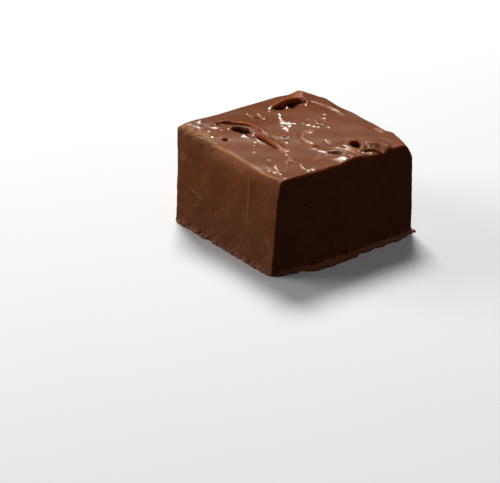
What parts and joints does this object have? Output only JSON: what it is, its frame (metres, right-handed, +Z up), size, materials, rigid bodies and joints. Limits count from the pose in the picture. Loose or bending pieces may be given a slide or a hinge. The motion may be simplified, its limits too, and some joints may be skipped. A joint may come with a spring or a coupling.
{
  "type": "chocolate fudge",
  "caption": "Square of chocolate fudge, cut from a slab: glossy poured top with folds, tears and pits, plain knife-cut sides and a thin smeared foot.",
  "frame": {"origin": "on the surface that the square rests on, under the middle of its bounding box", "axes": "+Z up out of the poured top, -Y out of the front cut side, +X out of the right cut side, whose foot has the widest smear"},
  "size_m": [0.0442, 0.0432, 0.0259],
  "materials": {
    "fudge": "poured top glossy, cut sides matt"
  },
  "bodies": {
    "root": {"fudge_square": "fudge"}
  },
  "joints": []
}
